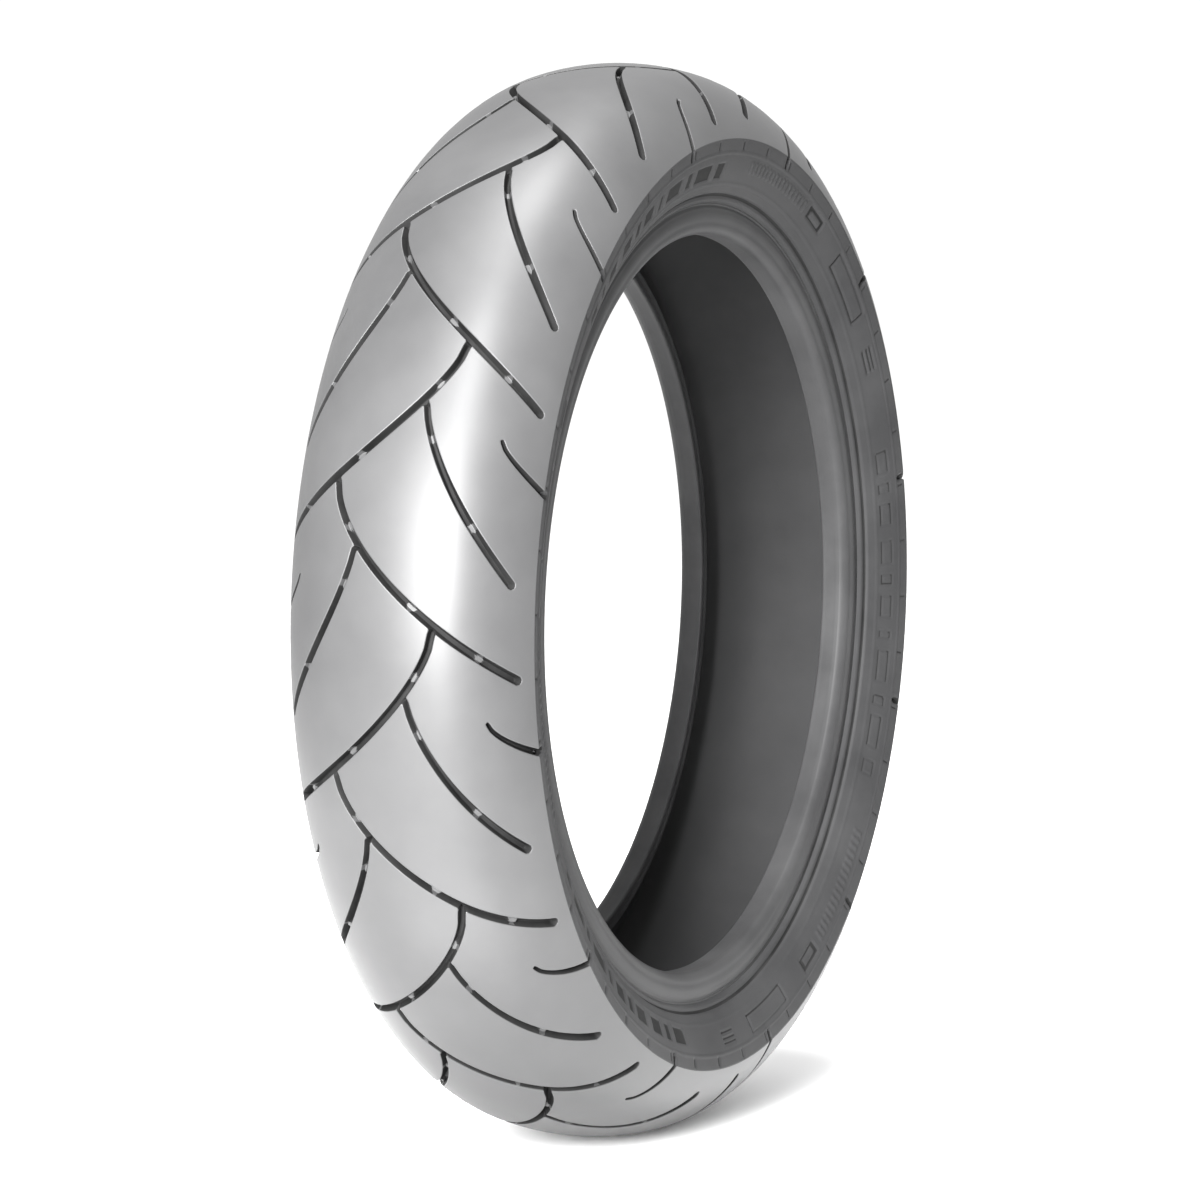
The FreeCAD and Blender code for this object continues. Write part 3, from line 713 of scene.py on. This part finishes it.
# points on the ridge and the heel arc, and on the toe arc
ARC_POINTS = 9
TOE_POINTS = 5
# fine ribs on the seat grip the rim; they start and end clear of the heel and toe arcs
SEAT_RIB_SPACING = 0.8
SEAT_RIB_HEIGHT = 0.35
HEEL_CLEARANCE = 1.0
TOE_CLEARANCE = 0.5
# a thin lip stands where the strip ends against the liner
STRIP_LIP = [(222.5, 41.6), (225.2, 42.0), (226.2, 41.4), (227.4, 41.6), (228.2, 42.6)]
STRIP_BACK = [(228.45, 43.65), (219.4, 43.7), (219.4, 52.4), (221.3, 54.4), (237.0, 54.4)]


def rim_strip_profile():
    """Outer section of the rim strip from the rim line, round the heel and seat, to the liner."""
    points = [RIM_LINE]
    points += [(radius, FLANGE + height) for radius, height in RIM_GROOVE]
    for place in np.linspace(-1.0, 1.0, ARC_POINTS):
        bulge = RIDGE_HEIGHT * math.cos(place * math.pi / 2)
        points.append((RIDGE_RADIUS - place * RIDGE_HALF, FLANGE + bulge))
    heel = (SEAT + HEEL_ARC, FLANGE - HEEL_ARC)
    for turn in np.radians(np.linspace(90, 180, ARC_POINTS)):
        points.append((heel[0] + HEEL_ARC * math.cos(turn), heel[1] + HEEL_ARC * math.sin(turn)))
    seat_start = FLANGE - HEEL_ARC - HEEL_CLEARANCE
    seat_end = TOE + TOE_ARC + TOE_CLEARANCE
    for place in np.arange(seat_start, seat_end, -SEAT_RIB_SPACING):
        points.append((SEAT, place))
    tip = (SEAT + TOE_ARC, TOE + TOE_ARC)
    for turn in np.radians(np.linspace(180, 270, TOE_POINTS)):
        points.append((tip[0] + TOE_ARC * math.cos(turn), tip[1] + TOE_ARC * math.sin(turn)))
    return np.array(points + STRIP_LIP + [LINER_FOOT])


def rim_strip_piece(side):
    """One rim strip, with ribs on every other point of its seat."""
    profile = rim_strip_profile()
    angle = np.arange(STRIP_COLUMNS) * 2 * math.pi / STRIP_COLUMNS
    radius = np.repeat(profile[:, :1], STRIP_COLUMNS, axis=1)
    axial = np.repeat(profile[:, 1:], STRIP_COLUMNS, axis=1)
    seat = (profile[:, 0] == SEAT)[:, None]
    ribs = np.arange(len(profile))[:, None] % 2
    radius = radius + seat * ribs * SEAT_RIB_HEIGHT
    return ring_piece(f"rim_strip_{SIDE_NAMES[side]}_skin", side, radius, axial, angle, STRIP_BACK)


# ------------------------------------------------------------------ inner liner

# the casing turns from the shoulder arc into a tighter one: slopes where that starts and ends
CASING_BLEND = math.radians(60.0)
CASING_ARC = 36.4
CASING_END = math.radians(115.0)
CASING_CENTRE = (
    SHOULDER_CENTRE[0] + (SHOULDER_ARC - CASING_ARC) * math.cos(CASING_BLEND),
    SHOULDER_CENTRE[1] + (SHOULDER_ARC - CASING_ARC) * math.sin(CASING_BLEND),
)
# depth under the tread surface, the bend above the bead (on the air side a corner of the CAD
# liner's section), and the foot at the bead
LINER_AIR_SIDE = (13.4, (250.167, 56.854), LINER_FOOT)
LINER_PLY_SIDE = (12.3, (250.167, 58.0), (228.45, 44.3))
LINER_STEP = 3.0
LINER_COLUMNS = 480
# faint ribs that the curing bladder leaves, and the radii over which they fade out above the beads
BLADDER_RIBS = 80
BLADDER_RIB_HEIGHT = 0.25
BLADDER_RIB_FADE = (240.0, 256.0)


def half_liner(depth, bend, foot):
    """Half of a line inside the casing, from the centre plane to the foot at the bead."""
    arcs = (
        ((OUTER - CROWN_ARC, 0.0), CROWN_ARC, 0.0, CROWN_BEND),
        (SHOULDER_CENTRE, SHOULDER_ARC, CROWN_BEND, CASING_BLEND),
        (CASING_CENTRE, CASING_ARC, CASING_BLEND, CASING_END),
    )
    points = []
    for centre, arc, start, end in arcs:
        count = int((arc - depth) * (end - start) / LINER_STEP) + 1
        for turn in np.linspace(start, end, count + 1)[:-1]:
            points.append((
                centre[0] + (arc - depth) * math.cos(turn),
                centre[1] + (arc - depth) * math.sin(turn)))
    last = (
        CASING_CENTRE[0] + (CASING_ARC - depth) * math.cos(CASING_END),
        CASING_CENTRE[1] + (CASING_ARC - depth) * math.sin(CASING_END))
    for start, end in ((last, bend), (bend, foot)):
        count = int(math.dist(start, end) / LINER_STEP) + 1
        points += np.linspace(start, end, count + 1)[:-1].tolist()
    return np.array(points + [foot])


def whole_liner(depth, bend, foot):
    """The line from the right foot over the crown to the left foot."""
    half = half_liner(depth, bend, foot)
    return np.vstack([half[::-1], half[1:] * (1.0, -1.0)])


def liner_piece():
    """The inner liner, ribbed on its air side."""
    profile = whole_liner(*LINER_AIR_SIDE)
    back = whole_liner(*LINER_PLY_SIDE)[::-1]
    angle = np.arange(LINER_COLUMNS) * 2 * math.pi / LINER_COLUMNS
    along = np.gradient(profile, axis=0)
    along /= np.linalg.norm(along, axis=1)[:, None]
    fade = soft_step(profile[:, 0], *BLADDER_RIB_FADE)
    ribs = BLADDER_RIB_HEIGHT * (0.5 + 0.5 * np.cos(BLADDER_RIBS * angle))
    height = fade[:, None] * ribs[None, :]
    radius = profile[:, :1] + along[:, 1:] * height
    axial = profile[:, 1:] - along[:, :1] * height
    return ring_piece("inner_liner_skin", 1, radius, axial, angle, back)


# ------------------------------------------------------------------ materials

def principled(name, color, roughness, specular=0.5):
    material = bpy.data.materials.new(name)
    material.use_nodes = True
    shader = material.node_tree.nodes["Principled BSDF"]
    shader.inputs["Base Color"].default_value = (*color, 1.0)
    shader.inputs["Roughness"].default_value = roughness
    shader.inputs["Specular IOR Level"].default_value = specular
    return material, shader


def node(material, kind, **inputs):
    made = material.node_tree.nodes.new(kind)
    for key, value in inputs.items():
        made.inputs[key.replace("_", " ")].default_value = value
    return made


def object_coordinates(material):
    return material.node_tree.nodes.new("ShaderNodeTexCoord").outputs["Object"]


# where on the noise a patch is fully dark and fully light
DARK_PATCH = 0.35
LIGHT_PATCH = 0.68


def mottled(material, shader, dark, light, scale, rough_low, rough_high):
    """Soft patches of colour and gloss."""
    links = material.node_tree.links
    patches = node(material, "ShaderNodeTexNoise", Scale=scale, Detail=6.0, Roughness=0.6)
    links.new(object_coordinates(material), patches.inputs["Vector"])
    ramp = material.node_tree.nodes.new("ShaderNodeValToRGB")
    ramp.color_ramp.elements[0].position = DARK_PATCH
    ramp.color_ramp.elements[0].color = (*dark, 1.0)
    ramp.color_ramp.elements[1].position = LIGHT_PATCH
    ramp.color_ramp.elements[1].color = (*light, 1.0)
    links.new(patches.outputs["Fac"], ramp.inputs["Fac"])
    links.new(ramp.outputs["Color"], shader.inputs["Base Color"])
    gloss = node(material, "ShaderNodeMapRange", To_Min=rough_low, To_Max=rough_high)
    links.new(patches.outputs["Fac"], gloss.inputs["Value"])
    links.new(gloss.outputs["Result"], shader.inputs["Roughness"])


def grain(material, shader, scale, strength, distance):
    """Fine moulded grain in the surface."""
    links = material.node_tree.links
    fine = node(material, "ShaderNodeTexNoise", Scale=scale, Detail=4.0, Roughness=0.7)
    links.new(object_coordinates(material), fine.inputs["Vector"])
    bump = node(material, "ShaderNodeBump", Strength=strength, Distance=distance)
    links.new(fine.outputs["Fac"], bump.inputs["Height"])
    links.new(bump.outputs["Normal"], shader.inputs["Normal"])


def tread_material():
    material, shader = principled("tread_rubber_satin", (0.034, 0.034, 0.034), 0.44, 0.38)
    mottled(material, shader, (0.029, 0.029, 0.0295), (0.039, 0.039, 0.0395), 9.0, 0.41, 0.47)
    grain(material, shader, 900.0, 0.10, 0.0002)
    return material


# Painted shade: this rubber is painted darker, with almost no specular, to stand in for the shade in
# the grooves and the sidewalls' sunk marks.
def groove_painted_shade_material():
    material, shader = principled("groove_rubber_painted_shade", (0.012, 0.012, 0.012), 0.6, 0.03)
    mottled(material, shader, (0.008, 0.008, 0.008), (0.016, 0.016, 0.016), 30.0, 0.5, 0.66)
    grain(material, shader, 1200.0, 0.2, 0.0002)
    return material


def sidewall_material():
    material, shader = principled("sidewall_rubber", (0.02, 0.02, 0.02), 0.55, 0.1)
    mottled(material, shader, (0.016, 0.016, 0.0165), (0.025, 0.025, 0.0255), 14.0, 0.48, 0.62)
    grain(material, shader, 1400.0, 0.25, 0.0002)
    return material


def rim_strip_material():
    material, shader = principled("rim_strip_rubber", (0.024, 0.024, 0.024), 0.5, 0.13)
    mottled(material, shader, (0.019, 0.019, 0.0195), (0.029, 0.029, 0.0295), 20.0, 0.44, 0.56)
    grain(material, shader, 1800.0, 0.2, 0.0002)
    return material


def liner_material():
    material, shader = principled("liner_rubber", (0.029, 0.029, 0.029), 0.62, 0.1)
    mottled(material, shader, (0.025, 0.025, 0.0255), (0.033, 0.033, 0.0335), 10.0, 0.54, 0.68)
    grain(material, shader, 700.0, 0.2, 0.0003)
    return material


def buried_rubber_material():
    material, shader = principled("buried_rubber", (0.03, 0.03, 0.03), 0.7)
    mottled(material, shader, (0.025, 0.025, 0.026), (0.04, 0.04, 0.041), 25.0, 0.6, 0.75)
    return material


def cord_material():
    """Rubberised fabric: crossed diagonal cords under a thin rubber skin."""
    material, shader = principled("ply_cord", (0.2, 0.16, 0.1), 0.65)
    links = material.node_tree.links
    cords = node(material, "ShaderNodeTexWave", Scale=180.0, Distortion=0.4)
    cords.bands_direction = "DIAGONAL"
    links.new(object_coordinates(material), cords.inputs["Vector"])
    ramp = material.node_tree.nodes.new("ShaderNodeValToRGB")
    ramp.color_ramp.elements[0].color = (0.06, 0.055, 0.05, 1.0)
    ramp.color_ramp.elements[1].color = (0.24, 0.19, 0.12, 1.0)
    links.new(cords.outputs["Fac"], ramp.inputs["Fac"])
    links.new(ramp.outputs["Color"], shader.inputs["Base Color"])
    bump = node(material, "ShaderNodeBump", Strength=0.4, Distance=0.0004)
    links.new(cords.outputs["Fac"], bump.inputs["Height"])
    links.new(bump.outputs["Normal"], shader.inputs["Normal"])
    return material


def wire_material():
    material, shader = principled("bead_wire", (0.45, 0.36, 0.24), 0.35)
    shader.inputs["Metallic"].default_value = 1.0
    mottled(material, shader, (0.38, 0.29, 0.18), (0.5, 0.42, 0.3), 60.0, 0.28, 0.45)
    return material


def floor_material():
    material, shader = principled("pale_floor", (0.95, 0.95, 0.95), 0.8, 0.0)
    mottled(material, shader, (0.94, 0.94, 0.94), (0.96, 0.96, 0.96), 3.0, 0.78, 0.82)
    return material


def paint(target, *materials):
    for material in materials:
        target.data.materials.append(material)


# ------------------------------------------------------------------ the tyre

FIELD = groove_field()
tread = tread_piece()
# the rubber painted darker as shade goes into the grooves here and into the sidewalls' sunk marks
# below
painted_shade_rubber = groove_painted_shade_material()
paint(tread, tread_material(), painted_shade_rubber)
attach(tread, "root")
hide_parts("tread_cap")

side_rubber, strip_rubber = sidewall_material(), rim_strip_material()
for side, label in SIDE_NAMES.items():
    wall = sidewall_piece(side)
    paint(wall, side_rubber, painted_shade_rubber)
    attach(wall, "root")
    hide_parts(f"sidewall_{label}")
    strip = rim_strip_piece(side)
    paint(strip, strip_rubber)
    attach(strip, "root")
    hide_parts(f"rim_strip_{label}")

liner = liner_piece()
paint(liner, liner_material())
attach(liner, "root")
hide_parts("inner_liner")

buried = buried_rubber_material()
cords = cord_material()
finishes = {
    "bead_wires": wire_material(),
    "breaker_ply": cords, "carcass_ply": cords, "chafer": cords, "bead_wrap": cords,
    "tread_base": buried, "shoulder_wedge": buried, "bead_apex": buried,
}
for name, cad_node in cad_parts.items():
    for start, material in finishes.items():
        if name.startswith(start):
            for slot in cad_node.material_slots:
                slot.material = material


# ------------------------------------------------------------------ floor, light and camera

FLOOR_SIZE = 60.0
FLOOR_HEIGHT = cad_box[0][2]
WORLD_STRENGTH = 1.07
# name, place, target, width, height, power and spread in degrees
LIGHTS = [
    ("front_strip", (-3.0, -0.5, 0.7), (0, 0, 0.0), 0.9, 2.0, 108, 70),
    ("arch_box", (-1.9, -0.5, 2.4), (0, 0, 0.1), 0.7, 1.2, 32, 75),
    ("top_box", (0.1, -0.15, 3.0), (0, 0, 0.1), 0.7, 1.2, 20, 75),
    ("side_box", (1.2, -3.2, 1.4), (0, 0, 0), 1.6, 2.2, 3, 120),
    # a long soft light lies on the floor and carries the highlight round under the tread
    ("floor_strip", (-0.85, -0.03, FLOOR_HEIGHT + 0.004), (-0.85, -0.03, 1.0), 1.1, 0.22, 3.5, 160),
]

# the camera was fitted to the tyre's outline, in degrees, metres and image widths
AZIMUTH = math.radians(-65.465)
ELEVATION = math.radians(5.364)
DISTANCE = 3.6723
FOCAL_PER_WIDTH = 6164.0 / 1200.0
SHIFT_X = -0.01447
SHIFT_Y = 0.0002
SENSOR = 36.0
CLIP_END = 100.0


def area_light(name, place, target, width, height, power, spread):
    data = bpy.data.lights.new(name, "AREA")
    data.shape = "RECTANGLE"
    data.size = width
    data.size_y = height
    data.energy = power
    data.spread = math.radians(spread)
    light = bpy.data.objects.new(name, data)
    light.visible_camera = False
    light.location = place
    light.rotation_euler = (Vector(target) - Vector(place)).to_track_quat("-Z", "Y").to_euler()
    bpy.context.scene.collection.objects.link(light)


bpy.ops.mesh.primitive_plane_add(size=FLOOR_SIZE, location=(0, 0, FLOOR_HEIGHT))
floor = bpy.context.object
floor.name = "studio_floor"
paint(floor, floor_material())

for settings in LIGHTS:
    area_light(*settings)

world = bpy.data.worlds.new("studio")
bpy.context.scene.world = world
world.use_nodes = True
background = world.node_tree.nodes["Background"]
background.inputs["Color"].default_value = (1.0, 1.0, 1.0, 1.0)
background.inputs["Strength"].default_value = WORLD_STRENGTH

camera_data = bpy.data.cameras.new("camera")
camera_data.sensor_width = SENSOR
camera_data.lens = FOCAL_PER_WIDTH * SENSOR
camera_data.shift_x = SHIFT_X
camera_data.shift_y = SHIFT_Y
camera_data.clip_end = CLIP_END
camera = bpy.data.objects.new("camera", camera_data)
back = Vector((
    math.sin(AZIMUTH) * math.cos(ELEVATION), -math.cos(AZIMUTH) * math.cos(ELEVATION),
    math.sin(ELEVATION)))
camera.location = back * DISTANCE
camera.rotation_euler = back.to_track_quat("Z", "Y").to_euler()
bpy.context.scene.collection.objects.link(camera)
bpy.context.scene.camera = camera
bpy.context.scene.view_settings.view_transform = "Standard"
